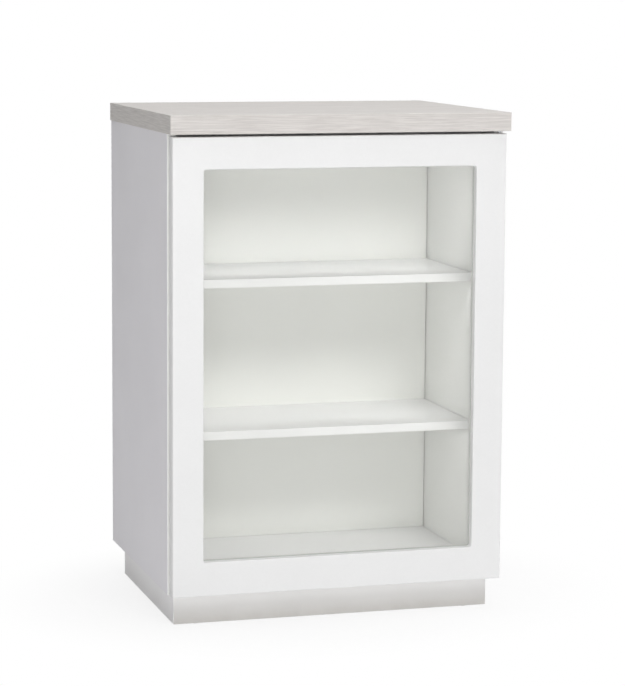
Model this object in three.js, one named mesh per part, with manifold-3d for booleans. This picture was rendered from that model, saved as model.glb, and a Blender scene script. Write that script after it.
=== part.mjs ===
// A glazed bookcase cabinet: a board carcass under a laminate slab, on a recessed plinth, with two
// loose shelves and one framed glass door. The door turns on two pivot hinges at its right edge and
// a push latch at its left edge lets it go. Millimetres, +Z up; the door faces -Y and the origin is
// on the floor under the middle of the slab.

import * as THREE from "three";
import { RoundedBoxGeometry } from "three/addons/geometries/RoundedBoxGeometry.js";
import { mergeVertices } from "three/addons/utils/BufferGeometryUtils.js";
import Module from "manifold-3d";

const wasm = await Module();
wasm.setup();

// Overall size
const overallWidth = 600;
const overallDepth = 480;
const overallHeight = 874;

// Slab
const slabThickness = 32;
const edgeBandThickness = 1.2;
const edgeBandEase = 0.4;
const slabSideOverhang = 2;

// Carcass boards
const boardThickness = 16;
const boardEase = 0.7;
const easeShareOfThickness = 0.25;
const packerThickness = 16;
const packerWidth = 70;
const packerSetback = 60;
const rearRailHeight = 80;

// Back panel: a board whose thinner tongues stand in grooves in the sides
const backPanelThickness = 8;
const backTongueThickness = 4;
const backTongueDepth = 5;
const shadowJoint = 2;
const serviceDepth = 92;

// Shelves and their pins
const shelfThickness = 15;
const shelfSetback = 95;
const shelfEndClearance = 1;
const lowerCompartment = 230;
const middleCompartment = 251;
const pinRadius = 2.5;
const pinLength = 18;
const pinInset = 9;
const pinChamfer = 0.6;
const pinSlotOverrun = 1;
const pinFrontDistance = 40;
const pinRearDistance = 45;

// Plinth and glides
const plinthHeight = 57;
const plinthRecess = 14;
const plinthRearRecess = 40;
const glideHeight = 1.2;
const glideRadius = 6;
const glideChamfer = 0.4;
const glideSpigotRadius = 2;
const glideSpigotLength = 12;
const glideEndDistance = 40;

// Door
const doorThickness = 25;
const doorSetback = 8;
const doorGap = 2.5;
const doorTopGap = 4.5;
const doorSideInset = 3;
const doorEase = 2;
const stileWidth = 54;
const topRailWidth = 55;
const bottomRailWidth = 59;
const openingRadius = 4;
const openingCornerSteps = 4;
const lipThickness = 13;
const rabbetWidth = 9;

// Glass, seal and beads
const glassThickness = 4;
const sealThickness = 1;
const sealShows = 1;
const glassArris = 0.5;
const glassEdgeClearance = 1;
const beadEase = 0.6;

// Pivot hinges
const pivotInset = 7;
const pivotPinRadius = 3;
const pivotPinEngagement = 13;
const pivotRunningClearance = 0.08;
const bushWall = 1.7;
const bushLength = 14;
const plateThickness = 3;
const plateEase = 0.3;
const upperPlateWidth = 20;
const lowerPlateWidth = 30;
const plateLength = 46;
const tongueWidth = 12;
const plateScrewEnd = 9;
const tongueRelief = 1.5;
const tongueClearance = 0.8;
const tongueRoundSteps = 8;

// Push latch and strike
const latchHeight = 446;
const latchBodyWidth = 14;
const latchBodyHeight = 20;
const latchBodyLength = 76;
const latchBodyEase = 1;
const latchSetback = 1;
const latchFlangeThickness = 2.5;
const latchFlangeReach = 9;
const latchScrewDistance = 38;
const plungerRadius = 4.5;
const plungerLength = 46;
const plungerChamfer = 1;
const plungerTravel = 2;
const strikeRadius = 9;
const strikeThickness = 1.2;
const strikeChamfer = 0.2;

// Screws: radius of shank and head, depth of head, and lengths of tip and whole
const slabScrew = { shank: 2, head: 4, headDepth: 2.5, tip: 4, length: 46 };
const smallScrew = { shank: 1.5, head: 2.8, headDepth: 1.6, tip: 3, length: 14 };
const screwHeadRim = 0.2;
const slabScrewDistance = 90;

// Clearances
const seatGap = 0.3;
const glueLine = 0.1;
const boreClearance = 0.2;
const cutOver = 1;
const rodChamfer = 0.3;
const roundSteps = 24;
const smallRoundSteps = 12;

// Planes that several pieces share
const slabFront = -overallDepth / 2;
const slabRear = overallDepth / 2;
const carcassTop = overallHeight - slabThickness;
const carcassHalf = overallWidth / 2 - slabSideOverhang;
const innerHalf = carcassHalf - boardThickness;
const doorFront = slabFront + doorSetback;
const doorBack = doorFront + doorThickness;
const carcassFront = doorBack + doorGap;
const floorTop = plinthHeight + boardThickness;
const ceilingTop = carcassTop - packerThickness;
const ceilingUnder = ceilingTop - boardThickness;
const railFront = slabRear - boardThickness;
const backRear = slabRear - serviceDepth;
const backFront = backRear - backPanelThickness;
const tongueFront = backRear - backTongueThickness;
const shelfFront = carcassFront + shelfSetback;
const lowerShelfUnder = floorTop + lowerCompartment;
const upperShelfUnder = lowerShelfUnder + shelfThickness + middleCompartment;
const doorHalf = carcassHalf - doorSideInset;
const doorTop = carcassTop - doorTopGap;
const doorBottom = plinthHeight;
const openingHalf = doorHalf - stileWidth;
const openingTop = doorTop - topRailWidth;
const openingBottom = doorBottom + bottomRailWidth;
const sealFront = doorFront + lipThickness + glueLine;
const glassFront = sealFront + sealThickness + glueLine;
const glassBack = glassFront + glassThickness;
const pivotX = doorHalf - pivotInset;
const pivotY = doorBack - pivotInset;
const bushRadius = pivotPinRadius + pivotRunningClearance + bushWall;
const tongueHalf = tongueWidth / 2;
const upperPlateUnder = carcassTop + glueLine;
const lowerPlateUnder = plinthHeight + glueLine;
const notchTop = lowerPlateUnder + plateThickness + tongueClearance;

// Directions for round pieces, whose own axis is +Y
const standing = new THREE.Euler(Math.PI / 2, 0, 0);
const headDown = new THREE.Euler(-Math.PI / 2, 0, 0);
const headRight = new THREE.Euler(0, 0, -Math.PI / 2);
const headLeft = new THREE.Euler(0, 0, Math.PI / 2);
const facingFront = new THREE.Euler(Math.PI, 0, 0);
const unturned = new THREE.Euler(0, 0, 0);

function finish(color, roughness, metalness = 0) {
  return new THREE.MeshStandardMaterial({ color, roughness, metalness });
}

const laminate = finish("#d3cfcb", 0.55);
const laminateEdge = finish("#cbc7c3", 0.55);
const whiteBoard = finish("#efefee", 0.5);
const doorLacquer = finish("#f4f4f4", 0.35);
const plinthBoard = finish("#e4e4e3", 0.5);
const whitePlastic = finish("#ececea", 0.45);
const sealRubber = finish("#6f7370", 0.7);
const steel = finish("#b9bcc0", 0.35, 1);
const brass = finish("#c7a862", 0.35, 1);
const glass = new THREE.MeshStandardMaterial({
  color: "#dfe9e3",
  roughness: 0.05,
  metalness: 0,
  transparent: true,
  opacity: 0.25,
});

const cabinet = new THREE.Group();
cabinet.name = "glazed_bookcase";

// A closed geometry as a solid that can be joined and cut.
function toSolid(geometry) {
  const bare = geometry.index ? geometry.toNonIndexed() : geometry.clone();
  bare.deleteAttribute("normal");
  bare.deleteAttribute("uv");
  const merged = mergeVertices(bare, 1e-4);
  const mesh = new wasm.Mesh({
    numProp: 3,
    vertProperties: merged.attributes.position.array,
    triVerts: new Uint32Array(merged.index.array),
  });
  return new wasm.Manifold(mesh);
}

function toGeometry(solid) {
  const mesh = solid.getMesh();
  const shared = new THREE.BufferGeometry();
  shared.setAttribute("position", new THREE.BufferAttribute(mesh.vertProperties, 3));
  shared.setIndex(new THREE.BufferAttribute(mesh.triVerts, 1));
  const flat = shared.toNonIndexed();
  flat.computeVertexNormals();
  return flat;
}

function place(name, geometry, material, position, rotation = unturned, group = cabinet) {
  const mesh = new THREE.Mesh(geometry, material);
  mesh.name = name;
  mesh.position.set(...position);
  mesh.rotation.copy(rotation);
  group.add(mesh);
  return mesh;
}

// A tool for cutting, turned and moved to where it cuts in the cabinet.
function cutter(geometry, position, rotation = unturned) {
  const turn = new THREE.Matrix4().makeRotationFromEuler(rotation);
  return geometry.clone().applyMatrix4(turn).translate(...position);
}

function blockCutter(low, high) {
  const size = high.map((value, i) => value - low[i]);
  const middle = high.map((value, i) => (value + low[i]) / 2);
  return cutter(new THREE.BoxGeometry(...size), middle);
}

// The geometry less its cutters, which are given in the cabinet's frame.
function cutAway(geometry, middle, cutters) {
  let solid = toSolid(geometry);
  for (const tool of cutters) {
    const local = tool.clone().translate(-middle[0], -middle[1], -middle[2]);
    solid = solid.subtract(toSolid(local));
  }
  return toGeometry(solid);
}

// A board with eased edges between two corners, with its holes, grooves and notches.
function board(name, low, high, material, cutters = [], ease = boardEase, group = cabinet) {
  const size = high.map((value, i) => value - low[i]);
  const middle = high.map((value, i) => (value + low[i]) / 2);
  const radius = Math.min(ease, Math.min(...size) * easeShareOfThickness);
  const blank = new RoundedBoxGeometry(...size, 1, radius);
  const geometry = cutters.length > 0 ? cutAway(blank, middle, cutters) : blank;
  return place(name, geometry, material, middle, unturned, group);
}

function revolve(points, steps = roundSteps) {
  const profile = points.map(([radius, height]) => new THREE.Vector2(radius, height));
  return new THREE.LatheGeometry(profile, steps);
}

function rod(radius, bottom, top, chamfer = rodChamfer, steps = roundSteps) {
  return revolve(
    [
      [0, bottom],
      [radius - chamfer, bottom],
      [radius, bottom + chamfer],
      [radius, top - chamfer],
      [radius - chamfer, top],
      [0, top],
    ],
    steps,
  );
}

// A plain bore, wide enough that flats on its wall stay clear of what it holds.
function bore(radius, bottom, top, steps = roundSteps) {
  const wall = (radius + boreClearance) / Math.cos(Math.PI / steps);
  return revolve([[0, bottom], [wall, bottom], [wall, top], [0, top]], steps);
}

// A countersunk screw; its head's top is at height 0 and its shank goes down.
function screwBody({ shank, head, headDepth, tip, length }) {
  return revolve(
    [
      [0, -length],
      [shank, -length + tip],
      [shank, -headDepth],
      [head, -screwHeadRim],
      [head, 0],
      [0, 0],
    ],
    smallRoundSteps,
  );
}

function screwBore({ shank, head, headDepth, length }) {
  const clear = boreClearance;
  return revolve(
    [
      [0, -length - seatGap],
      [shank + clear, -length - seatGap],
      [shank + clear, -headDepth],
      [head + clear, -screwHeadRim],
      [head + clear, cutOver],
      [0, cutOver],
    ],
    smallRoundSteps,
  );
}

// ---- Fixings: where each screw goes, so that the boards can be bored for it ----

const slabScrewSpots = [];
for (const side of [-1, 1]) {
  const x = side * (innerHalf - slabScrewDistance);
  slabScrewSpots.push([x, carcassFront + packerSetback + packerWidth / 2, ceilingUnder]);
  slabScrewSpots.push([x, railFront - packerWidth / 2, ceilingUnder]);
}

const sidePanelMiddle = carcassHalf - boardThickness / 2;
const plateScrewInnerX = innerHalf - plateScrewEnd;
const plateRear = carcassFront + plateLength;
const upperPlateScrews = [
  [pivotX - tongueHalf, pivotY + tongueWidth + plateScrewEnd, upperPlateUnder],
  [pivotX - tongueHalf, plateRear - plateScrewEnd, upperPlateUnder],
];
const lowerPlateScrews = [
  [sidePanelMiddle, plateRear - plateScrewEnd, lowerPlateUnder],
  [plateScrewInnerX, plateRear - plateScrewEnd, lowerPlateUnder],
];

const latchFront = carcassFront + latchSetback;
const latchWall = -innerHalf + seatGap;
const latchFace = latchWall + latchBodyWidth;
const plungerX = latchWall + latchBodyWidth / 2;
const latchScrewSpots = [-1, 1].map((side) => [
  latchWall + latchFlangeThickness,
  latchFront + latchScrewDistance,
  latchHeight + side * (latchBodyHeight / 2 + latchFlangeReach / 2),
]);

function screwCutters(spots, screw, rotation) {
  return spots.map((spot) => cutter(screwBore(screw), spot, rotation));
}

// ---- Slab and its edge bands ----

function plateCutter(low, high) {
  const grown = low.map((value) => value - seatGap);
  return blockCutter(grown, high.map((value) => value + seatGap));
}

const upperPlateHigh = [pivotX + tongueHalf, plateRear, upperPlateUnder + plateThickness];
const upperPlateLow = [upperPlateHigh[0] - upperPlateWidth, pivotY - tongueHalf, upperPlateUnder];

function buildSlab() {
  const core = overallWidth / 2 - edgeBandThickness - glueLine;
  const mortise = plateCutter(
    [upperPlateLow[0], upperPlateLow[1], carcassTop - cutOver],
    upperPlateHigh,
  );
  board(
    "top_slab",
    [-core, slabFront + edgeBandThickness + glueLine, carcassTop],
    [core, slabRear, overallHeight],
    laminate,
    [
      mortise,
      ...screwCutters(slabScrewSpots, slabScrew, headDown),
      ...screwCutters(upperPlateScrews, smallScrew, headDown),
    ],
    edgeBandEase,
  );
  const half = overallWidth / 2;
  board(
    "slab_band_front",
    [-half, slabFront, carcassTop],
    [half, slabFront + edgeBandThickness, overallHeight],
    laminateEdge,
    [],
    edgeBandEase,
  );
  for (const [name, side] of [["slab_band_left", -1], ["slab_band_right", 1]]) {
    const edges = [side * half, side * (half - edgeBandThickness)].sort((a, b) => a - b);
    board(
      name,
      [edges[0], slabFront + edgeBandThickness + glueLine, carcassTop],
      [edges[1], slabRear, overallHeight],
      laminateEdge,
      [],
      edgeBandEase,
    );
  }
}

// ---- Carcass ----

const pinHeights = [lowerShelfUnder, upperShelfUnder].map((under) => under + pinRadius);
const pinDepths = [shelfFront + pinFrontDistance, backFront - pinRearDistance];

function pinCutters(side) {
  const cutters = [];
  for (const height of pinHeights) {
    for (const depth of pinDepths) {
      const hole = bore(pinRadius, -cutOver, pinInset + seatGap, smallRoundSteps);
      const direction = side < 0 ? headLeft : headRight;
      cutters.push(cutter(hole, [side * innerHalf, depth, height], direction));
    }
  }
  return cutters;
}

function grooveCutter(side) {
  const mouth = side * (innerHalf - cutOver);
  const bottom = side * (innerHalf + backTongueDepth);
  const edges = [mouth, bottom].sort((a, b) => a - b);
  return blockCutter(
    [edges[0], tongueFront - seatGap, floorTop - seatGap],
    [edges[1], backRear + seatGap, ceilingUnder + seatGap],
  );
}

const lowerPlateHigh = [pivotX + tongueHalf, plateRear, lowerPlateUnder + plateThickness];
const lowerPlateLow = [lowerPlateHigh[0] - lowerPlateWidth, carcassFront, lowerPlateUnder];

function lowerPlateMortise() {
  return blockCutter(
    [lowerPlateLow[0] - seatGap, carcassFront - cutOver, plinthHeight - cutOver],
    [lowerPlateHigh[0] + seatGap, plateRear + seatGap, lowerPlateHigh[2] + seatGap],
  );
}

function buildSides() {
  for (const [name, side] of [["side_panel_left", -1], ["side_panel_right", 1]]) {
    const edges = [side * innerHalf, side * carcassHalf].sort((a, b) => a - b);
    const fittings =
      side < 0
        ? screwCutters(latchScrewSpots, smallScrew, headRight)
        : [lowerPlateMortise(), ...screwCutters(lowerPlateScrews, smallScrew, headDown)];
    board(
      name,
      [edges[0], carcassFront, plinthHeight],
      [edges[1], slabRear, carcassTop - seatGap],
      whiteBoard,
      [grooveCutter(side), ...pinCutters(side), ...fittings],
    );
  }
}

function buildHorizontals() {
  const half = innerHalf - seatGap;
  board(
    "bottom_panel",
    [-half, carcassFront, plinthHeight],
    [half, slabRear, floorTop],
    whiteBoard,
    [lowerPlateMortise(), ...screwCutters(lowerPlateScrews, smallScrew, headDown)],
  );
  board(
    "ceiling_panel",
    [-half, carcassFront, ceilingUnder],
    [half, railFront - seatGap, ceilingTop],
    whiteBoard,
    screwCutters(slabScrewSpots, slabScrew, headDown),
  );
  const packerFront = carcassFront + packerSetback;
  const packers = [
    ["packer_front", packerFront, packerFront + packerWidth],
    ["packer_rear", railFront - seatGap - packerWidth, railFront - seatGap],
  ];
  for (const [name, front, rear] of packers) {
    board(
      name,
      [-half, front, ceilingTop + seatGap],
      [half, rear, carcassTop - seatGap],
      whiteBoard,
      screwCutters(slabScrewSpots, slabScrew, headDown),
    );
  }
}

function buildRearRails() {
  const half = innerHalf - seatGap;
  const upperTop = carcassTop - seatGap;
  const lowerBottom = floorTop + seatGap;
  board(
    "rear_rail_upper",
    [-half, railFront, upperTop - rearRailHeight],
    [half, slabRear, upperTop],
    whiteBoard,
  );
  board(
    "rear_rail_lower",
    [-half, railFront, lowerBottom],
    [half, slabRear, lowerBottom + rearRailHeight],
    whiteBoard,
  );
}

// The back panel's section, seen from above: full thickness between the shadow joints, and a thinner
// tongue at each end that stands in the side panel's groove.
function buildBackPanel() {
  const shoulder = innerHalf - shadowJoint;
  const tip = innerHalf + backTongueDepth - seatGap;
  const step = backPanelThickness - backTongueThickness;
  const section = new THREE.Shape();
  section.moveTo(-shoulder, 0);
  section.lineTo(shoulder, 0);
  section.lineTo(shoulder, step);
  section.lineTo(tip, step);
  section.lineTo(tip, backPanelThickness);
  section.lineTo(-tip, backPanelThickness);
  section.lineTo(-tip, step);
  section.lineTo(-shoulder, step);
  section.closePath();
  const height = ceilingUnder - floorTop - 2 * seatGap;
  const panel = new THREE.ExtrudeGeometry(section, { depth: height, bevelEnabled: false });
  place("back_panel", panel, whiteBoard, [0, backFront, floorTop + seatGap]);
}

// ---- Shelves and pins ----

// Each shelf has open slots in its underside, which its four pins fill, so that none of them shows.
function pinSlots(half, height) {
  const tip = innerHalf - pinInset - pinSlotOverrun;
  const wide = pinRadius + boreClearance;
  const cutters = [];
  for (const depth of pinDepths) {
    for (const side of [-1, 1]) {
      const ends = [side * tip, side * (half + cutOver)].sort((a, b) => a - b);
      const low = [ends[0], depth - wide, height - pinRadius - cutOver];
      cutters.push(blockCutter(low, [ends[1], depth + wide, height]));
      const crown = bore(pinRadius, ends[0], ends[1], smallRoundSteps);
      cutters.push(cutter(crown, [0, depth, height], headRight));
    }
  }
  return cutters;
}

function buildShelves() {
  const half = innerHalf - shelfEndClearance;
  const shelves = [["shelf_lower", lowerShelfUnder], ["shelf_upper", upperShelfUnder]];
  shelves.forEach(([name, under], i) => {
    board(
      name,
      [-half, shelfFront, under],
      [half, backFront - seatGap, under + shelfThickness],
      whiteBoard,
      pinSlots(half, pinHeights[i]),
    );
  });
}

function buildPins() {
  const pin = rod(pinRadius, -pinInset, pinLength - pinInset, pinChamfer, smallRoundSteps);
  const levels = ["lower", "upper"];
  const depths = ["front", "rear"];
  for (const [sideName, side, direction] of [["left", -1, headRight], ["right", 1, headLeft]]) {
    levels.forEach((level, i) => {
      depths.forEach((depthName, j) => {
        const spot = [side * innerHalf, pinDepths[j], pinHeights[i]];
        place(`shelf_pin_${level}_${sideName}_${depthName}`, pin, steel, spot, direction);
      });
    });
  }
}

// ---- Plinth and glides ----

const plinthHalf = carcassHalf - plinthRecess;
const plinthFront = carcassFront + plinthRecess;
const plinthRear = slabRear - plinthRearRecess;
const plinthTop = plinthHeight - seatGap;
const glideX = plinthHalf - glideEndDistance;
const glideDepths = [plinthFront + boardThickness / 2, plinthRear - boardThickness / 2];

function glideCutters(depth) {
  const hole = bore(glideSpigotRadius, -cutOver, glideSpigotLength + seatGap, smallRoundSteps);
  return [-1, 1].map((side) => cutter(hole, [side * glideX, depth, glideHeight], standing));
}

function buildPlinth() {
  const cross = [
    ["plinth_front", plinthFront, plinthFront + boardThickness, glideDepths[0]],
    ["plinth_back", plinthRear - boardThickness, plinthRear, glideDepths[1]],
  ];
  for (const [name, front, rear, depth] of cross) {
    board(
      name,
      [-plinthHalf, front, glideHeight],
      [plinthHalf, rear, plinthTop],
      plinthBoard,
      glideCutters(depth),
    );
  }
  for (const [name, side] of [["plinth_left", -1], ["plinth_right", 1]]) {
    const edges = [side * plinthHalf, side * (plinthHalf - boardThickness)].sort((a, b) => a - b);
    board(
      name,
      [edges[0], plinthFront + boardThickness + seatGap, glideHeight],
      [edges[1], plinthRear - boardThickness - seatGap, plinthTop],
      plinthBoard,
    );
  }
}

// A glide is a low foot with a spigot that stands in the plinth board.
function buildGlides() {
  const glide = revolve(
    [
      [0, 0],
      [glideRadius - glideChamfer, 0],
      [glideRadius, glideChamfer],
      [glideRadius, glideHeight - seatGap],
      [glideSpigotRadius, glideHeight - seatGap],
      [glideSpigotRadius, glideHeight + glideSpigotLength],
      [0, glideHeight + glideSpigotLength],
    ],
    roundSteps,
  );
  const rows = ["front", "rear"];
  glideDepths.forEach((depth, i) => {
    place(`glide_${rows[i]}_left`, glide, whitePlastic, [-glideX, depth, 0], standing);
    place(`glide_${rows[i]}_right`, glide, whitePlastic, [glideX, depth, 0], standing);
  });
}

// ---- Door ----

// A rectangle's corner points, with arcs of so many steps where it has a corner radius.
function rectanglePoints([left, bottom], [right, top], radius = 0, steps = 0) {
  const centres = [
    [right - radius, bottom + radius],
    [right - radius, top - radius],
    [left + radius, top - radius],
    [left + radius, bottom + radius],
  ];
  return centres.flatMap(([x, y], quarter) =>
    Array.from({ length: steps + 1 }, (_, i) => {
      const angle = (quarter - 1 + i / Math.max(steps, 1)) * (Math.PI / 2);
      return new THREE.Vector2(x + radius * Math.cos(angle), y + radius * Math.sin(angle));
    }),
  );
}

const doorGroup = new THREE.Group();
cabinet.add(doorGroup);

// The frame is one routed board: eased outer and opening edges in front, a rabbet for the glass
// behind, a bore for a bush in its top and bottom edges, and a notch round the lower pivot.
function buildDoorFrame() {
  const outline = new THREE.Shape(rectanglePoints([-doorHalf, doorBottom], [doorHalf, doorTop]));
  const openingLow = [-openingHalf, openingBottom];
  const opening = new THREE.Path(
    rectanglePoints(openingLow, [openingHalf, openingTop], openingRadius, openingCornerSteps),
  );
  outline.holes.push(opening);
  const blank = new THREE.ExtrudeGeometry(outline, {
    depth: doorThickness - 2 * doorEase,
    bevelEnabled: true,
    bevelThickness: doorEase,
    bevelSize: doorEase,
    bevelOffset: -doorEase,
    bevelSegments: 2,
  });
  blank.rotateX(Math.PI / 2);
  blank.translate(0, doorBack - doorEase, 0);
  const rabbet = blockCutter(
    [-openingHalf - rabbetWidth, doorFront + lipThickness, openingBottom - rabbetWidth],
    [openingHalf + rabbetWidth, doorBack + cutOver, openingTop + rabbetWidth],
  );
  const notch = blockCutter(
    [pivotX - tongueHalf - seatGap, pivotY - tongueHalf - seatGap, doorBottom - cutOver],
    [doorHalf + cutOver, doorBack + cutOver, notchTop],
  );
  const lowerBore = bore(bushRadius, doorBottom - cutOver, notchTop + bushLength);
  const upperBore = bore(bushRadius, doorTop - bushLength - seatGap, doorTop + cutOver);
  const cutters = [
    rabbet,
    notch,
    cutter(lowerBore, [pivotX, pivotY, 0], standing),
    cutter(upperBore, [pivotX, pivotY, 0], standing),
  ];
  const frame = cutAway(blank, [0, 0, 0], cutters);
  frame.translate(0, -doorFront, 0);
  place("door_frame", frame, doorLacquer, [0, doorFront, 0], unturned, doorGroup);
}

function buildDoorGlass() {
  const reach = rabbetWidth - glassEdgeClearance;
  board(
    "door_glass",
    [-openingHalf - reach, glassFront, openingBottom - reach],
    [openingHalf + reach, glassBack, openingTop + reach],
    glass,
    [],
    glassArris,
    doorGroup,
  );
}

// A thin rubber seal lies between the lip and the glass and shows as a line round the opening.
function buildSeal() {
  const outer = rabbetWidth - seatGap;
  const outerLow = [-openingHalf - outer, openingBottom - outer];
  const outline = new THREE.Shape(rectanglePoints(outerLow, [-outerLow[0], openingTop + outer]));
  const innerLow = [-openingHalf + sealShows, openingBottom + sealShows];
  const innerHigh = [-innerLow[0], openingTop - sealShows];
  const innerRadius = openingRadius - sealShows;
  outline.holes.push(
    new THREE.Path(rectanglePoints(innerLow, innerHigh, innerRadius, openingCornerSteps)),
  );
  const seal = new THREE.ExtrudeGeometry(outline, { depth: sealThickness, bevelEnabled: false });
  seal.rotateX(Math.PI / 2);
  place("glass_seal", seal, sealRubber, [0, sealFront + sealThickness, 0], unturned, doorGroup);
}

// Four beads fill the rabbet behind the glass: the upper and lower run full width.
function buildBeads() {
  const front = glassBack + seatGap;
  const rear = doorBack - seatGap;
  const outerX = openingHalf + rabbetWidth - seatGap;
  const top = openingTop + rabbetWidth - seatGap;
  const bottom = openingBottom - rabbetWidth + seatGap;
  const beads = [
    ["glazing_bead_top", [-outerX, front, openingTop], [outerX, rear, top]],
    ["glazing_bead_bottom", [-outerX, front, bottom], [outerX, rear, openingBottom]],
    [
      "glazing_bead_left",
      [-outerX, front, openingBottom + seatGap],
      [-openingHalf, rear, openingTop - seatGap],
    ],
    [
      "glazing_bead_right",
      [openingHalf, front, openingBottom + seatGap],
      [outerX, rear, openingTop - seatGap],
    ],
  ];
  for (const [name, low, high] of beads) {
    board(name, low, high, whitePlastic, [], beadEase, doorGroup);
  }
}

// ---- Pivot hinges ----

function plateHole(x, y) {
  return cutter(bore(pivotPinRadius, -cutOver, overallHeight + cutOver), [x, y, 0], standing);
}

function buildUpperPlate() {
  board(
    "pivot_plate_upper",
    upperPlateLow,
    upperPlateHigh,
    steel,
    [plateHole(pivotX, pivotY), ...screwCutters(upperPlateScrews, smallScrew, headDown)],
    plateEase,
  );
}

// The lower plate is wide under the carcass, with a narrow round-ended tongue under the door. The
// tongue is relieved on its right, where the door's corner swings past it.
function buildLowerPlate() {
  const outline = new THREE.Shape();
  const relieved = tongueHalf - tongueRelief;
  const roundEnd = Math.acos(relieved / tongueHalf);
  outline.moveTo(lowerPlateLow[0], plateRear);
  outline.lineTo(lowerPlateLow[0], carcassFront);
  outline.lineTo(pivotX - tongueHalf, carcassFront);
  outline.lineTo(pivotX - tongueHalf, pivotY);
  outline.absarc(pivotX, pivotY, tongueHalf, Math.PI, 2 * Math.PI + roundEnd, false);
  outline.lineTo(pivotX + relieved, carcassFront);
  outline.lineTo(lowerPlateHigh[0], carcassFront);
  outline.lineTo(lowerPlateHigh[0], plateRear);
  outline.closePath();
  const blank = new THREE.ExtrudeGeometry(outline, {
    depth: plateThickness,
    bevelEnabled: false,
    curveSegments: tongueRoundSteps,
  });
  const middle = [0, 0, lowerPlateUnder];
  const holes = [plateHole(pivotX, pivotY), ...screwCutters(lowerPlateScrews, smallScrew, headDown)];
  place("pivot_plate_lower", cutAway(blank, middle, holes), steel, middle);
}

function buildPivotPins() {
  const upperPinBottom = doorTop - pivotPinEngagement;
  const upperPinTop = upperPlateUnder + plateThickness;
  const lowerPinTop = notchTop + pivotPinEngagement;
  const upperPin = rod(pivotPinRadius, 0, upperPinTop - upperPinBottom);
  const lowerPin = rod(pivotPinRadius, 0, lowerPinTop - lowerPlateUnder);
  place("pivot_pin_upper", upperPin, steel, [pivotX, pivotY, upperPinBottom], standing);
  place("pivot_pin_lower", lowerPin, steel, [pivotX, pivotY, lowerPlateUnder], standing);
}

// Each bush is a brass tube in the door's edge; the lower one stands on the pivot plate's tongue.
function buildBushes() {
  const inner = (pivotPinRadius + pivotRunningClearance) / Math.cos(Math.PI / roundSteps);
  const lowerBottom = lowerPlateUnder + plateThickness + seatGap;
  const bushes = [
    ["pivot_bush_lower", lowerBottom, notchTop + bushLength - seatGap],
    ["pivot_bush_upper", doorTop - bushLength, doorTop],
  ];
  for (const [name, bottom, top] of bushes) {
    const tube = revolve([
      [inner, 0],
      [bushRadius, 0],
      [bushRadius, top - bottom],
      [inner, top - bottom],
      [inner, 0],
    ]);
    place(name, tube, brass, [pivotX, pivotY, bottom], standing, doorGroup);
  }
}

// ---- Push latch and strike ----

const plungerTip = doorBack + glueLine + strikeThickness + seatGap;
const plungerRear = plungerTip + plungerLength;
const latchBoreEnd = plungerRear + plungerTravel + seatGap;

function buildLatch() {
  const bodyLow = [latchWall, latchFront, latchHeight - latchBodyHeight / 2];
  const bodyHigh = [latchFace, latchFront + latchBodyLength, latchHeight + latchBodyHeight / 2];
  const reach = latchBodyHeight / 2 + latchFlangeReach;
  const flange = blockCutter(
    [latchWall, latchFront + latchScrewDistance - latchFlangeReach, latchHeight - reach],
    [
      latchWall + latchFlangeThickness,
      latchFront + latchScrewDistance + latchFlangeReach,
      latchHeight + reach,
    ],
  );
  const size = bodyHigh.map((value, i) => value - bodyLow[i]);
  const middle = bodyHigh.map((value, i) => (value + bodyLow[i]) / 2);
  const body = new RoundedBoxGeometry(...size, 1, latchBodyEase);
  const localFlange = flange.translate(-middle[0], -middle[1], -middle[2]);
  const joined = toGeometry(toSolid(body).add(toSolid(localFlange)));
  const tunnel = bore(plungerRadius, -latchBoreEnd, -latchFront + cutOver);
  const cutters = [
    cutter(tunnel, [plungerX, 0, latchHeight], facingFront),
    ...screwCutters(latchScrewSpots, smallScrew, headRight),
  ];
  place("latch_housing", cutAway(joined, middle, cutters), whitePlastic, middle);
  const plunger = rod(plungerRadius, -plungerLength, 0, plungerChamfer);
  place("latch_plunger", plunger, whitePlastic, [plungerX, plungerTip, latchHeight], facingFront);
  const strike = rod(strikeRadius, 0, strikeThickness, strikeChamfer);
  const strikeSpot = [plungerX, doorBack + glueLine + strikeThickness, latchHeight];
  place("latch_strike", strike, steel, strikeSpot, facingFront, doorGroup);
}

// ---- Screws ----

function buildScrews() {
  const sets = [
    ["slab_screw", slabScrewSpots, slabScrew, headDown],
    ["plate_screw_upper", upperPlateScrews, smallScrew, headDown],
    ["plate_screw_lower", lowerPlateScrews, smallScrew, headDown],
    ["latch_screw", latchScrewSpots, smallScrew, headRight],
  ];
  for (const [name, spots, screw, direction] of sets) {
    spots.forEach((spot, i) => {
      place(`${name}_${i + 1}`, screwBody(screw), steel, spot, direction);
    });
  }
}

buildSlab();
buildSides();
buildHorizontals();
buildRearRails();
buildBackPanel();
buildShelves();
buildPins();
buildPlinth();
buildGlides();
buildDoorFrame();
buildDoorGlass();
buildSeal();
buildBeads();
buildUpperPlate();
buildLowerPlate();
buildPivotPins();
buildBushes();
buildLatch();
buildScrews();

export default cabinet;
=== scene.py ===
import math

import bpy
import numpy as np
from mathutils import Matrix, Vector


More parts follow.
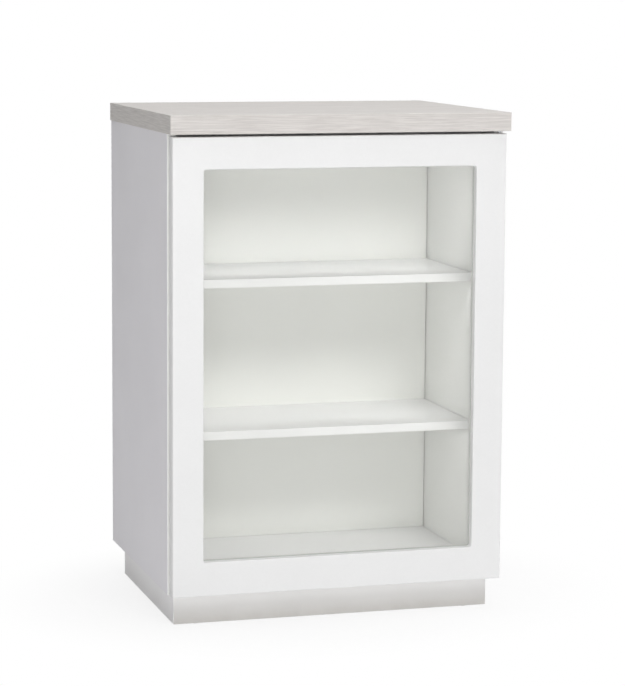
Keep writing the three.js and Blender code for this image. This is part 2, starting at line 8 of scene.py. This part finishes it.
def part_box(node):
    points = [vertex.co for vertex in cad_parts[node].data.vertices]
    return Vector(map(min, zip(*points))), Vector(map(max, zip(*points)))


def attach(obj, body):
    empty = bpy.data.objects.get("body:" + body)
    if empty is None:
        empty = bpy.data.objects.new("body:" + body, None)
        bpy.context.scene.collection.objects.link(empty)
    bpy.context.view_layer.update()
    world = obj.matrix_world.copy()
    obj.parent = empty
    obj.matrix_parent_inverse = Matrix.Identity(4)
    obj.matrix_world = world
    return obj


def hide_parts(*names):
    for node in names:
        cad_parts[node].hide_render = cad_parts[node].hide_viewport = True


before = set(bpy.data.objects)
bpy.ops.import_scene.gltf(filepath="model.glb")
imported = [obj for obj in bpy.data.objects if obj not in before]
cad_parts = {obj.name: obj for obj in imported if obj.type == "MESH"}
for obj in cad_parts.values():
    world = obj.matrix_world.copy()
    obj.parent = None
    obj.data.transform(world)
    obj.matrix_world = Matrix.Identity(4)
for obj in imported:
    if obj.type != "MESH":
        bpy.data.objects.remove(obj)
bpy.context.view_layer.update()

scene = bpy.context.scene
scene.view_settings.view_transform = "Standard"

# The camera stands to the left of the door and a little above the slab. Angles are in radians.
cameraFacts = {
    "place": (-1.2481, -4.2409, 1.0763),
    "yaw": 0.2763,
    "pitch": 0.1266,
    "roll": 0.0047,
    "lens": 130.6,
    "shift": (0.0496, -0.0496),
    "reach": 200,
}


def makeCamera(facts):
    data = bpy.data.cameras.new("camera")
    data.lens = facts["lens"]
    data.shift_x, data.shift_y = facts["shift"]
    data.clip_end = facts["reach"]
    camera = bpy.data.objects.new("camera", data)
    camera.location = facts["place"]
    tilt = Matrix.Rotation(math.pi / 2 - facts["pitch"], 3, "X")
    roll = Matrix.Rotation(facts["roll"], 3, "Z")
    yaw = Matrix.Rotation(-facts["yaw"], 3, "Z")
    camera.rotation_euler = (yaw @ (tilt @ roll)).to_euler()
    scene.collection.objects.link(camera)
    scene.camera = camera


makeCamera(cameraFacts)
print("camera placed")

# Small helpers for node trees. A socket passed as a value is linked, and anything else is set.


def feed(tree, socket, value):
    if isinstance(value, bpy.types.NodeSocket):
        tree.links.new(value, socket)
    else:
        socket.default_value = value


def addNode(tree, kind, inputs=None, **settings):
    node = tree.nodes.new(kind)
    for key, value in settings.items():
        setattr(node, key, value)
    for key, value in (inputs or {}).items():
        feed(tree, node.inputs[key], value)
    return node


def maths(tree, operation, first, second, clamp=False):
    node = addNode(tree, "ShaderNodeMath", {0: first, 1: second}, operation=operation)
    node.use_clamp = clamp
    return node.outputs[0]


def scaled(tree, vector, factors):
    node = addNode(tree, "ShaderNodeVectorMath", {0: vector, 1: factors}, operation="MULTIPLY")
    return node.outputs[0]


# A noise as its facts say: how far it is stretched or scaled, its detail, roughness and warp.
def noise(tree, vector, facts, scale=None):
    if "stretch" in facts:
        vector = scaled(tree, vector, facts["stretch"])
    inputs = {
        "Vector": vector,
        "Scale": facts.get("scale", 1.0) if scale is None else scale,
        "Detail": facts["detail"],
        "Roughness": facts["rough"],
        "Distortion": facts.get("warp", 0.0),
    }
    return addNode(tree, "ShaderNodeTexNoise", inputs).outputs["Fac"]


def remap(tree, value, low, high, toLow, toHigh, smooth=False):
    inputs = {"Value": value, "From Min": low, "From Max": high, "To Min": toLow, "To Max": toHigh}
    curve = "SMOOTHSTEP" if smooth else "LINEAR"
    node = addNode(tree, "ShaderNodeMapRange", inputs, interpolation_type=curve)
    return node.outputs["Result"]


# The Mix node keeps its colour sockets at 6 and 7, and its colour result at 2.
def mixed(tree, amount, first, second, blend="MIX"):
    inputs = {0: amount, 6: first, 7: second}
    node = addNode(tree, "ShaderNodeMix", data_type="RGBA", blend_type=blend)
    for key, value in inputs.items():
        feed(tree, node.inputs[key], value)
    return node.outputs[2]


def greyed(tree, value):
    return addNode(tree, "ShaderNodeCombineColor", {0: value, 1: value, 2: value}).outputs[0]


def startGroup(name, inputs, outputs):
    group = bpy.data.node_groups.new(name, "ShaderNodeTree")
    for label, kind, value in inputs:
        socket = group.interface.new_socket(label, in_out="INPUT", socket_type=kind)
        if value is not None:
            socket.default_value = value
    for label, kind in outputs:
        group.interface.new_socket(label, in_out="OUTPUT", socket_type=kind)
    given = addNode(group, "NodeGroupInput").outputs
    return group, given, addNode(group, "NodeGroupOutput").inputs


def useGroup(tree, group, inputs):
    return addNode(tree, "ShaderNodeGroup", inputs, node_tree=group).outputs


vectorKind, colorKind, floatKind = "NodeSocketVector", "NodeSocketColor", "NodeSocketFloat"
skinOutputs = [("Color", colorKind), ("Roughness", floatKind), ("Height", floatKind)]

# Wood grain printed on laminate. The grain runs along X of the vector it is given: broad cathedrals
# of tone, fine streaks drawn out along the grain, hair lines and short dark pores. Span is the part
# of the noise that counts, and share is how much of the tone each layer makes.
grainFacts = {
    "bands": {"stretch": (1.4, 16, 16), "detail": 3, "rough": 0.55, "warp": 0.6},
    "streaks": {"stretch": (15, 480, 480), "detail": 2, "rough": 0.6, "warp": 0.3},
    "hair": {"stretch": (34, 1000, 1000), "detail": 2, "rough": 0.5},
    "pores": {"stretch": (60, 900, 900), "detail": 1, "rough": 0.5},
    "span": {"bands": (0.3, 0.7), "streaks": (0.36, 0.64), "hair": (0.34, 0.66)},
    "share": {"bands": 0.14, "streaks": 0.56, "hair": 0.3},
    "poreSpan": (0.62, 0.74),
    "poreShare": 0.35,
    "roughness": (0.3, 0.7, 0.6, 0.48),
    "rubAndHighlightColor": (0.9, 0.88, 0.86, 1),
    "rubAndHighlightShare": 0.6,
    "rubbedShine": 0.1,
}


def makeWoodGrain(facts):
    tree, given, out = startGroup(
        "woodGrain",
        [
            ("Vector", vectorKind, None),
            ("Light", colorKind, (0.7, 0.68, 0.65, 1)),
            ("Dark", colorKind, (0.55, 0.52, 0.49, 1)),
            ("RubAndHighlight", floatKind, 0.0),
        ],
        skinOutputs,
    )
    kinds = ("bands", "streaks", "hair", "pores")
    layers = {kind: noise(tree, given["Vector"], facts[kind]) for kind in kinds}
    tone = 0.0
    for kind, share in facts["share"].items():
        part = remap(tree, layers[kind], *facts["span"][kind], 0, 1)
        tone = maths(tree, "ADD", tone, maths(tree, "MULTIPLY", part, share))
    pores = remap(tree, layers["pores"], *facts["poreSpan"], 0, 1, True)
    darker = maths(tree, "MULTIPLY", pores, facts["poreShare"])
    tone = maths(tree, "SUBTRACT", tone, darker, True)
    color = mixed(tree, tone, given["Dark"], given["Light"])
    # Painted highlight and wear: the arrises turn lighter where the rub mask is high.
    rubHighlightAmount = maths(tree, "MULTIPLY", given["RubAndHighlight"], facts["rubAndHighlightShare"])
    feed(tree, out["Color"], mixed(tree, rubHighlightAmount, color, facts["rubAndHighlightColor"]))
    rough = remap(tree, layers["streaks"], *facts["roughness"])
    shine = maths(tree, "MULTIPLY", given["RubAndHighlight"], facts["rubbedShine"])
    feed(tree, out["Roughness"], maths(tree, "SUBTRACT", rough, shine))
    feed(tree, out["Height"], maths(tree, "SUBTRACT", layers["streaks"], pores))
    return tree


# The skin of a faced or lacquered board: a tone that drifts a little, a fine pearl texture, and
# handling marks that show in how rough it is. Where a board is given painted shade, it darkens
# the colour towards a brown, broken up by the marks.
skinFacts = {
    "drift": {"scale": 5.0, "detail": 3, "rough": 0.6},
    "driftTone": (0.3, 0.7, 0.985, 1.012),
    "fleck": {"detail": 2, "rough": 0.5},
    "fleckTone": (0.3, 0.7, 0.992, 1.006),
    "marksAndShade": {"stretch": (14, 14, 9), "detail": 4, "rough": 0.7, "warp": 0.8},
    "marksSpan": (0.35, 0.65),
    "floorShadeSpread": (0.35, 0.7, 0.88, 1.0),
    "floorShadeColor": (0.34, 0.32, 0.29, 1),
}


def makeBoardSkin(facts):
    tree, given, out = startGroup(
        "boardSkin",
        [
            ("Vector", vectorKind, None),
            ("Color", colorKind, (0.85, 0.85, 0.85, 1)),
            ("Pearl", floatKind, 700.0),
            ("Smooth", floatKind, 0.36),
            ("Dull", floatKind, 0.5),
            ("FloorShade", floatKind, 0.0),
        ],
        skinOutputs,
    )
    drift = noise(tree, given["Vector"], facts["drift"])
    fleck = noise(tree, given["Vector"], facts["fleck"], given["Pearl"])
    marksAndShade = noise(tree, given["Vector"], facts["marksAndShade"])
    tone = remap(tree, drift, *facts["driftTone"])
    tone = maths(tree, "MULTIPLY", tone, remap(tree, fleck, *facts["fleckTone"]))
    color = mixed(tree, 1.0, given["Color"], greyed(tree, tone), "MULTIPLY")
    # Painted shade, where a board is given some, broken up by the marks.
    spread = remap(tree, marksAndShade, *facts["floorShadeSpread"])
    floorShadeAmount = maths(tree, "MULTIPLY", given["FloorShade"], spread)
    feed(tree, out["Color"], mixed(tree, floorShadeAmount, color, facts["floorShadeColor"]))
    rough = remap(tree, marksAndShade, *facts["marksSpan"], given["Smooth"], given["Dull"])
    feed(tree, out["Roughness"], rough)
    feed(tree, out["Height"], fleck)
    return tree


# Where an edge has been rubbed and takes a painted highlight: high within the given reach of an
# arris, broken up by noise. Turn is one less the cosine between the rounded and the plain normal.
rubAndHighlightFacts = {
    "samples": 4,
    "turn": (0.02, 0.25),
    "patches": {"scale": 60.0, "detail": 3, "rough": 0.6},
    "patchSpread": (0.4, 0.62, 0.5, 1.0),
}


def makeEdgeRubAndHighlight(facts):
    tree, given, out = startGroup(
        "edgeRubAndHighlight",
        [("Vector", vectorKind, None), ("Reach", floatKind, 0.0015)],
        [("Mask", floatKind)],
    )
    rounded = addNode(
        tree, "ShaderNodeBevel", {"Radius": given["Reach"]}, samples=facts["samples"]
    ).outputs[0]
    plain = addNode(tree, "ShaderNodeNewGeometry").outputs["Normal"]
    same = addNode(
        tree, "ShaderNodeVectorMath", {0: rounded, 1: plain}, operation="DOT_PRODUCT"
    ).outputs["Value"]
    edge = remap(tree, maths(tree, "SUBTRACT", 1.0, same), *facts["turn"], 0, 1, True)
    patches = noise(tree, given["Vector"], facts["patches"])
    patches = remap(tree, patches, *facts["patchSpread"])
    feed(tree, out["Mask"], maths(tree, "MULTIPLY", edge, patches))
    return tree


# Dust that settles on what faces up, thicker in soft drifts.
dustFacts = {
    "facing": (0.7, 1.0),
    "drift": {"scale": 22.0, "detail": 4, "rough": 0.65},
    "driftSpread": (0.35, 0.75, 0, 1),
    "speck": {"scale": 800.0, "detail": 1, "rough": 0.5},
    "speckSpread": (0.45, 0.7, 0.2, 1),
}


def makeDust(facts):
    tree, given, out = startGroup(
        "settledDust", [("Vector", vectorKind, None)], [("Mask", floatKind)]
    )
    normal = addNode(tree, "ShaderNodeNewGeometry").outputs["Normal"]
    up = addNode(tree, "ShaderNodeSeparateXYZ", {0: normal}).outputs["Z"]
    facing = remap(tree, up, *facts["facing"], 0, 1, True)
    drift = remap(tree, noise(tree, given["Vector"], facts["drift"]), *facts["driftSpread"])
    speck = remap(tree, noise(tree, given["Vector"], facts["speck"]), *facts["speckSpread"])
    amount = maths(tree, "MULTIPLY", drift, speck)
    feed(tree, out["Mask"], maths(tree, "MULTIPLY", facing, amount))
    return tree


# Fine lines drawn along one axis, and a slow drift, for plated or turned metal.
metalGrainFacts = {
    "lines": {"stretch": (300, 2600, 2600), "detail": 2, "rough": 0.6},
    "roughness": (0.3, 0.7, 0.24, 0.42),
    "drift": {"scale": 120.0, "detail": 3, "rough": 0.6},
    "driftTone": (0.3, 0.7, 0.82, 1.05),
}


def makeMetalGrain(facts):
    tree, given, out = startGroup(
        "metalGrain",
        [("Vector", vectorKind, None), ("Color", colorKind, (0.6, 0.6, 0.6, 1))],
        skinOutputs,
    )
    lines = noise(tree, given["Vector"], facts["lines"])
    drift = noise(tree, given["Vector"], facts["drift"])
    tone = greyed(tree, remap(tree, drift, *facts["driftTone"]))
    feed(tree, out["Color"], mixed(tree, 1.0, given["Color"], tone, "MULTIPLY"))
    feed(tree, out["Roughness"], remap(tree, lines, *facts["roughness"]))
    feed(tree, out["Height"], lines)
    return tree


woodGrain = makeWoodGrain(grainFacts)
boardSkin = makeBoardSkin(skinFacts)
edgeRubAndHighlight = makeEdgeRubAndHighlight(rubAndHighlightFacts)
settledDust = makeDust(dustFacts)
metalGrain = makeMetalGrain(metalGrainFacts)
print("node groups:", len(bpy.data.node_groups))


def startMaterial(name):
    material = bpy.data.materials.new(name)
    material.use_nodes = True
    tree = material.node_tree
    shader = tree.nodes["Principled BSDF"]
    spot = addNode(tree, "ShaderNodeTexCoord").outputs["Object"]
    return material, tree, shader, spot


def bump(tree, shader, height, strength, distance):
    inputs = {"Strength": strength, "Distance": distance, "Height": height}
    node = addNode(tree, "ShaderNodeBump", inputs)
    feed(tree, shader.inputs["Normal"], node.outputs[0])


laminateFacts = {
    "light": (0.735, 0.705, 0.68, 1),
    "dark": (0.55, 0.522, 0.5, 1),
    "rubAndHighlightReach": 0.0018,
    "specular": 0.35,
    "bump": (0.5, 0.00012),  # strength and distance
}


def makeLaminate(name, facts, turned=False):
    material, tree, shader, spot = startMaterial(name)
    if turned:  # grain along Y
        turn = {"Vector": spot, "Rotation": (0, 0, math.pi / 2)}
        spot = addNode(tree, "ShaderNodeMapping", turn).outputs[0]
    # Painted highlight and wear along the slab's arrises.
    rubHighlightMask = useGroup(tree, edgeRubAndHighlight, {"Vector": spot, "Reach": facts["rubAndHighlightReach"]})["Mask"]
    inputs = {"Vector": spot, "Light": facts["light"], "Dark": facts["dark"], "RubAndHighlight": rubHighlightMask}
    grain = useGroup(tree, woodGrain, inputs)
    feed(tree, shader.inputs["Base Color"], grain["Color"])
    feed(tree, shader.inputs["Roughness"], grain["Roughness"])
    shader.inputs["Specular IOR Level"].default_value = facts["specular"]
    bump(tree, shader, grain["Height"], *facts["bump"])
    return material


# Each board's colour, how fine its pearl texture is, its roughness where smooth and where dull, and
# how deep the texture is.
boardFacts = {
    "board": {"color": (0.945, 0.944, 0.944, 1), "pearl": 750, "rough": (0.42, 0.54), "bump": 4e-5},
    # The back board is darker than the others: painted shade on the back panel. It also has a faint
    # yellow-green tint.
    "back": {"color": (0.87, 0.875, 0.847, 1), "pearl": 750, "rough": (0.42, 0.54), "bump": 4e-5},
    "side": {"color": (0.94, 0.943, 0.923, 1), "pearl": 420, "rough": (0.5, 0.62), "bump": 4e-5},
    "door": {"color": (0.838, 0.838, 0.838, 1), "pearl": 240, "rough": (0.34, 0.44), "bump": 5e-5},
    "plinth": {"color": (0.93, 0.922, 0.91, 1), "pearl": 750, "rough": (0.45, 0.6), "bump": 4e-5},
    "plastic": {"color": (0.8, 0.8, 0.785, 1), "pearl": 1500, "rough": (0.38, 0.5), "bump": 3e-5},
    "seal": {"color": (0.5, 0.51, 0.48, 1), "pearl": 2200, "rough": (0.6, 0.78), "bump": 4e-5},
}
# What lies farther out along X than the limit takes the ends' tone: painted shade on the side
# panels' outer faces, a darker tone with a slight lilac tint, and a painted lighter tone on the
# plinth's end faces.
paintedSideShade = {"limit": 0.2975, "color": (0.9, 0.885, 0.918, 1)}
paintedPlinthEndLight = {"limit": 0.2835, "color": (0.96, 0.95, 0.955, 1)}
# Painted shade on the plinth: darker towards the floor, fading out up to its top, and fainter at
# the ends.
paintedFloorShade = {"amount": 0.62, "top": 0.045, "atEnds": 0.2}
# What all boards share: the dust on them, their gloss and the strength of their texture.
finishFacts = {
    "dustColor": (0.62, 0.6, 0.56, 1),
    "dustShare": 0.08,
    "dustRough": 0.12,
    "specular": 0.4,
    "bumpStrength": 0.4,
}


def makeBoard(name, facts, paintedEnds=None, marksAndShade=None):
    material, tree, shader, spot = startMaterial(name)
    tint = facts["color"]
    smooth, dull = facts["rough"]
    inputs = {"Vector": spot, "Pearl": facts["pearl"], "Smooth": smooth, "Dull": dull}
    # Painted tone at the ends: shade on the side panels' outer faces, light on the plinth's ends.
    if paintedEnds:
        apart = addNode(tree, "ShaderNodeSeparateXYZ", {0: spot}).outputs
        sideways = maths(tree, "ABSOLUTE", apart["X"], 0.0)
        outside = maths(tree, "GREATER_THAN", sideways, paintedEnds["limit"])
        tint = mixed(tree, outside, tint, paintedEnds["color"])
        if marksAndShade:
            # Painted shade: darker towards the floor, fading out up to the given top.
            floorShadeAmount = remap(tree, apart["Z"], 0.0, marksAndShade["top"], marksAndShade["amount"], 0.0, True)
            fainter = remap(tree, outside, 0.0, 1.0, 1.0, marksAndShade["atEnds"])
            inputs["FloorShade"] = maths(tree, "MULTIPLY", floorShadeAmount, fainter)
    inputs["Color"] = tint
    skin = useGroup(tree, boardSkin, inputs)
    dust = useGroup(tree, settledDust, {"Vector": spot})["Mask"]
    amount = maths(tree, "MULTIPLY", dust, finishFacts["dustShare"])
    color = mixed(tree, amount, skin["Color"], finishFacts["dustColor"])
    feed(tree, shader.inputs["Base Color"], color)
    duller = maths(tree, "MULTIPLY", dust, finishFacts["dustRough"])
    rough = maths(tree, "ADD", skin["Roughness"], duller)
    feed(tree, shader.inputs["Roughness"], rough)
    shader.inputs["Specular IOR Level"].default_value = finishFacts["specular"]
    bump(tree, shader, skin["Height"], finishFacts["bumpStrength"], facts["bump"])
    return material


glassFacts = {
    "color": (0.994, 0.996, 0.986, 1),
    "shadow": (0.994, 0.996, 0.989, 1),
    "ior": 1.45,
    "smears": {"stretch": (5, 5, 2.2), "detail": 4, "rough": 0.6, "warp": 1.2},
    "roughness": (0.35, 0.75, 0.0, 0.03),
}


# Clear glass with faint wiping smears. Light from the lamps and from the shelves goes straight
# through it, so that what is behind it is lit once, as through an open door.
def makeGlass(name, facts):
    material, tree, shader, spot = startMaterial(name)
    shader.inputs["Base Color"].default_value = facts["color"]
    shader.inputs["Transmission Weight"].default_value = 1.0
    shader.inputs["IOR"].default_value = facts["ior"]
    rough = remap(tree, noise(tree, spot, facts["smears"]), *facts["roughness"])
    feed(tree, shader.inputs["Roughness"], rough)
    through = addNode(tree, "ShaderNodeBsdfTransparent", {"Color": facts["shadow"]}).outputs[0]
    path = addNode(tree, "ShaderNodeLightPath").outputs
    mix = shader.outputs[0]
    for kind in ("Is Shadow Ray", "Is Diffuse Ray"):
        inputs = {0: path[kind], 1: mix, 2: through}
        mix = addNode(tree, "ShaderNodeMixShader", inputs).outputs[0]
    feed(tree, tree.nodes["Material Output"].inputs["Surface"], mix)
    return material


metalFacts = {
    "steel": {"color": (0.58, 0.59, 0.61, 1), "bump": (0.3, 2e-5)},
    "brass": {"color": (0.72, 0.53, 0.26, 1), "bump": (0.3, 2e-5)},
}


def makeMetal(name, facts):
    material, tree, shader, spot = startMaterial(name)
    grain = useGroup(tree, metalGrain, {"Vector": spot, "Color": facts["color"]})
    feed(tree, shader.inputs["Base Color"], grain["Color"])
    feed(tree, shader.inputs["Roughness"], grain["Roughness"])
    shader.inputs["Metallic"].default_value = 1.0
    bump(tree, shader, grain["Height"], *facts["bump"])
    return material


materials = {
    "laminate": makeLaminate("laminateTop", laminateFacts),
    "laminateSide": makeLaminate("laminateSide", laminateFacts, turned=True),
    "board": makeBoard("facedBoard", boardFacts["board"]),
    "back": makeBoard("backBoard", boardFacts["back"]),
    "side": makeBoard("sideBoard", boardFacts["side"], paintedSideShade),
    "door": makeBoard("doorLacquer", boardFacts["door"]),
    "plinth": makeBoard("plinthBoard", boardFacts["plinth"], paintedPlinthEndLight, paintedFloorShade),
    "glass": makeGlass("paneGlass", glassFacts),
    "steel": makeMetal("platedSteel", metalFacts["steel"]),
    "brass": makeMetal("turnedBrass", metalFacts["brass"]),
    "plastic": makeBoard("mouldedPlastic", boardFacts["plastic"]),
    "seal": makeBoard("sealRubber", boardFacts["seal"]),
}
print("materials:", len(materials))

# CAD solids that keep their own shape, by the material that each takes and how its name starts.
keptNodes = {
    "laminate": ["top_slab"],
    "side": ["side_panel"],
    "back": ["back_panel"],
    "board": ["bottom_panel", "ceiling_panel", "packer", "rear_rail", "shelf_lower", "shelf_upper"],
    "plinth": ["plinth_"],
    "door": ["door_frame"],
    "glass": ["door_glass"],
    "seal": ["glass_seal"],
    "steel": [
        "pivot_plate",
        "pivot_pin",
        "latch_strike",
        "shelf_pin",
        "slab_screw",
        "plate_screw",
        "latch_screw",
    ],
    "brass": ["pivot_bush"],
    "plastic": ["glazing_bead", "glide", "latch_housing", "latch_plunger"],
}


def dressNodes(kept):
    dressed = 0
    for material, starts in kept.items():
        for name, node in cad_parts.items():
            if name.startswith(tuple(starts)):
                node.data.materials.clear()
                node.data.materials.append(materials[material])
                dressed += 1
    print("kept solids dressed:", dressed)


dressNodes(keptNodes)

# The slab's edge bands, made again with finer arrises than the solids have. Each lies across its
# own thin axis. Ease is the arris's radius, and corner is the outline's radius as a share of it.
bandFacts = {
    "ease": 0.0005,
    "steps": 3,
    "corner": 1.25,
    "body": "carcass",
    "slot": "laminate_edge",
    "bands": {
        "slab_band_front": {"axis": 1, "material": "laminate"},
        "slab_band_left": {"axis": 0, "material": "laminateSide"},
        "slab_band_right": {"axis": 0, "material": "laminateSide"},
    },
}


# A rounded rectangle as an array of points, anticlockwise: each corner is a quarter circle of the
# given radius about its own centre, with the same number of steps at every corner.
def loopPoints(low, high, radius, steps):
    angle = np.linspace(0, math.pi / 2, steps + 1)
    quarter = np.arange(4)[:, None] * math.pi / 2
    turn = angle[None, :] + quarter - math.pi / 2
    right, left = high[0] - radius, low[0] + radius
    top, bottom = high[1] - radius, low[1] + radius
    x = np.array([right, right, left, left])[:, None] + radius * np.cos(turn)
    y = np.array([bottom, top, top, bottom])[:, None] + radius * np.sin(turn)
    return np.stack([x.ravel(), y.ravel()], axis=1)


# Quads between neighbouring loops of a grid of loops by points, and a face at each end.
def gridFaces(loops, count):
    k = np.arange(loops - 1)[:, None]
    m = np.arange(count)[None, :]
    after = (m + 1) % count
    corners = [k * count + m, k * count + after, (k + 1) * count + after, (k + 1) * count + m]
    faces = np.stack(corners, axis=-1).reshape(-1, 4).tolist()
    first = np.arange(count)
    return faces + [first[::-1].tolist(), (first + (loops - 1) * count).tolist()]


# A board with rounded arrises: rounded rectangles are stacked through its thickness, and each is
# inset by the ease less the ease times the sine of how far round the arris it stands.
def makeBand(name, facts):
    low, high = (np.array(v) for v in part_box(name))
    axis = facts["bands"][name]["axis"]
    across = [(axis + 1) % 3, (axis + 2) % 3]
    ease, steps = facts["ease"], facts["steps"]
    roundArris = np.linspace(0, math.pi / 2, steps + 1)
    inset = ease * (1 - np.sin(roundArris))
    rise = ease * (1 - np.cos(roundArris))
    insets = np.concatenate([inset, inset[::-1]])
    levels = np.concatenate([low[axis] + rise, (high[axis] - rise)[::-1]])
    loops = []
    for shrink, level in zip(insets, levels):
        radius = ease * facts["corner"] - shrink
        flat = loopPoints(low[across] + shrink, high[across] - shrink, radius, steps)
        points = np.empty((len(flat), 3))
        points[:, across] = flat
        points[:, axis] = level
        loops.append(points)
    faces = gridFaces(len(loops), len(loops[0]))
    mesh = bpy.data.meshes.new(name + "_shown")
    mesh.from_pydata(np.concatenate(loops).tolist(), [], faces)
    mesh.validate()
    mesh.update()
    mesh.materials.append(materials[facts["bands"][name]["material"]])
    band = bpy.data.objects.new(name + "_shown", mesh)
    scene.collection.objects.link(band)
    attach(band, facts["body"])
    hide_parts(name)


for bandName in bandFacts["bands"]:
    makeBand(bandName, bandFacts)
print("slab bands made:", len(bandFacts["bands"]))


# One where the camera, a gloss or the glass looks straight at a surface, and nought elsewhere.
def lookedAt(tree):
    path = addNode(tree, "ShaderNodeLightPath").outputs
    seen = maths(tree, "ADD", path["Is Camera Ray"], path["Is Glossy Ray"])
    return maths(tree, "ADD", seen, path["Is Transmission Ray"], True)


# The floor shows white away from the cabinet. Near it, the least share of white lets the shadow
# show, and the share rises to all of it from the fade's start to its end.
floorFacts = {
    "half": 60.0,
    "color": (0.88, 0.88, 0.88, 1),
    "roughness": 0.9,
    "specular": 0.1,
    "white": (1, 1, 1, 1),
    "stretch": (1.0, 1.25, 1.0),
    "fade": (0.25, 0.62),
    "least": 0.82,
}


def makeFloor(facts):
    material, tree, shader, spot = startMaterial("floor")
    shader.inputs["Base Color"].default_value = facts["color"]
    shader.inputs["Roughness"].default_value = facts["roughness"]
    shader.inputs["Specular IOR Level"].default_value = facts["specular"]
    inputs = {"Color": facts["white"], "Strength": 1.0}
    white = addNode(tree, "ShaderNodeEmission", inputs).outputs[0]
    oval = scaled(tree, spot, facts["stretch"])
    away = addNode(tree, "ShaderNodeVectorMath", {0: oval}, operation="LENGTH").outputs["Value"]
    share = remap(tree, away, *facts["fade"], facts["least"], 1.0, True)
    share = maths(tree, "MULTIPLY", lookedAt(tree), share)
    mix = addNode(tree, "ShaderNodeMixShader", {0: share, 1: shader.outputs[0], 2: white})
    feed(tree, tree.nodes["Material Output"].inputs["Surface"], mix.outputs[0])
    half = facts["half"]
    corners = [(-half, -half, 0), (half, -half, 0), (half, half, 0), (-half, half, 0)]
    mesh = bpy.data.meshes.new("floor")
    mesh.from_pydata(corners, [], [(0, 1, 2, 3)])
    mesh.materials.append(material)
    floor = bpy.data.objects.new("floor", mesh)
    scene.collection.objects.link(floor)


# Soft lamps, each with its place, its size in metres and its power in watts. A lamp is as the plain
# one where it says nothing else: it faces the cabinet's middle, spreads widely and shows in gloss.
plainLamp = {"aim": (0.0, 0.0, 0.45), "spread": 180, "seen": True}
lampFacts = {
    "keyLamp": {"place": (0.35, -3.4, 3.1), "size": (1.6, 1.3), "power": 62.0},
    "lowFill": {"place": (-0.9, -4.2, 0.7), "size": (1.8, 0.8), "power": 41.0, "seen": False},
    "leftFill": {"place": (-3.9, -2.2, 0.85), "size": (1.2, 0.6), "power": 27.0},
    "topLamp": {"place": (0.2, -0.3, 3.2), "size": (2.6, 2.2), "power": 38.0},
    "rightFill": {"place": (3.4, 0.2, 0.6), "size": (2.0, 0.6), "power": 24.0, "seen": False},
    "rearFill": {"place": (1.9, 3.0, 0.55), "size": (2.0, 0.6), "power": 34.0, "seen": False},
}
# Narrow glows that light the boards inside: one behind the door's top rail, one lower down behind
# its glass, and one under each shelf's front edge.
plainGlow = {"size": (0.5, 0.02), "seen": False}
glowFacts = {
    "upperGlow": {
        "place": (0.03, -0.19, 0.79),
        "power": 0.1,
        "aim": (0.03, 0.06, 0.584),
        "spread": 52,
    },
    "wallGlow": {
        "place": (0.03, -0.19, 0.65),
        "power": 0.014,
        "aim": (0.03, 0.14, 0.6),
        "spread": 34,
    },
    "middleGlow": {
        "place": (0.03, -0.105, 0.566),
        "power": 0.075,
        "aim": (0.03, 0.03, 0.316),
        "spread": 60,
    },
    "lowerGlow": {
        "place": (0.02, -0.105, 0.3),
        "power": 0.08,
        "aim": (0.02, 0.06, 0.0735),
        "spread": 110,
    },
}


def makeLamp(name, facts):
    data = bpy.data.lights.new(name, "AREA")
    data.shape = "RECTANGLE"
    data.size, data.size_y = facts["size"]
    data.energy = facts["power"]
    data.spread = math.radians(facts["spread"])
    lamp = bpy.data.objects.new(name, data)
    lamp.location = facts["place"]
    lamp.visible_glossy = lamp.visible_transmission = facts["seen"]
    aim = Vector(facts["aim"]) - Vector(facts["place"])
    lamp.rotation_euler = aim.to_track_quat("-Z", "Y").to_euler()
    scene.collection.objects.link(lamp)


# Plain grey light from all round, and white where the camera, a gloss or the glass looks past it.
worldFacts = {"ambient": 0.12, "backdrop": 1.0, "color": (1, 1, 1, 1)}


def makeWorld(facts):
    world = bpy.data.worlds.new("studio")
    scene.world = world
    world.use_nodes = True
    tree = world.node_tree
    light, white = (
        addNode(tree, "ShaderNodeBackground", {"Color": facts["color"], "Strength": facts[kind]})
        for kind in ("ambient", "backdrop")
    )
    inputs = {0: lookedAt(tree), 1: light.outputs[0], 2: white.outputs[0]}
    mix = addNode(tree, "ShaderNodeMixShader", inputs)
    feed(tree, tree.nodes["World Output"].inputs["Surface"], mix.outputs[0])


makeFloor(floorFacts)
for lampName, ownFacts in lampFacts.items():
    makeLamp(lampName, {**plainLamp, **ownFacts})
for lampName, ownFacts in glowFacts.items():
    makeLamp(lampName, {**plainGlow, **ownFacts})
makeWorld(worldFacts)
print("stage and lamps made:", len(lampFacts) + len(glowFacts), "lamps")
